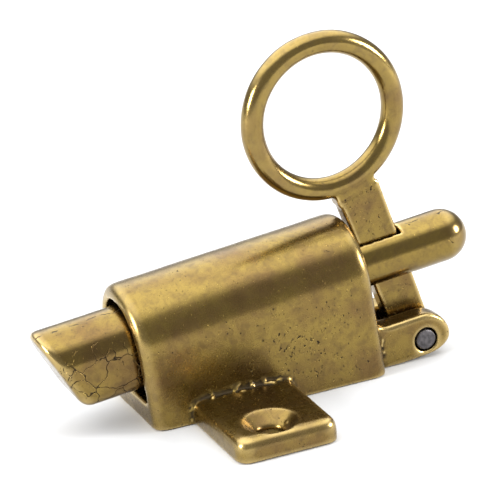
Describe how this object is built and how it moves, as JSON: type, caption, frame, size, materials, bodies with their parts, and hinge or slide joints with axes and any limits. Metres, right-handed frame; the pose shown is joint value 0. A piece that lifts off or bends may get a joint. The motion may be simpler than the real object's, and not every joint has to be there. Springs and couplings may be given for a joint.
{
  "type": "toggle bolt latch",
  "caption": "Brass surface-mounted spring bolt latch: a bevelled bolt in an arched housing with two screw ears, drawn back by a ring on a hinged lever.",
  "frame": {"origin": "on the flat mounting face, halfway between the centres of the two screw holes", "axes": "+Z stands up from the mounting face; +X runs from the bolt's tip towards the ring and the tail; +Y runs across the latch, through the screw holes. The bolt slides along an axis that rises 5.4 degrees towards +X."},
  "size_m": [0.0684, 0.0508, 0.0515],
  "materials": {
    "aged_cast_brass": "polished casting with a brown patina, small pits and worn bright edges",
    "aged_turned_brass": "smooth polished brass with fine dark crazing",
    "aged_rolled_brass": "polished strip and wire with small dents and a brown patina",
    "worn_steel": "dull grey, worn",
    "spring_steel": "drawn wire"
  },
  "bodies": {
    "housing": {"housing": "aged_cast_brass", "pivot_pin": "worn_steel", "return_spring": "spring_steel"},
    "bolt": {"bolt_head": "aged_turned_brass", "tail_rod": "aged_turned_brass"},
    "lever": {"lever_arm": "aged_rolled_brass", "pull_ring": "aged_rolled_brass"}
  },
  "joints": [
    {"name": "lever_hinge", "type": "hinge", "parent": "housing", "child": "lever", "pos_m": [0.03166, 0, 0.0029], "axis": [0, 1, 0], "range_deg": [0, 33]},
    {"name": "bolt_slide", "type": "slide", "parent": "housing", "child": "bolt", "axis": [0.9956, 0, 0.0941], "range_m": [0, 0.0102], "stiffness_N_per_m": 800, "springref_m": -0.008, "deforming": ["return_spring"]}
  ],
  "couplings": [
    {"joint": "lever_hinge", "follows": "bolt_slide", "rad_per_m": 56.104}
  ]
}
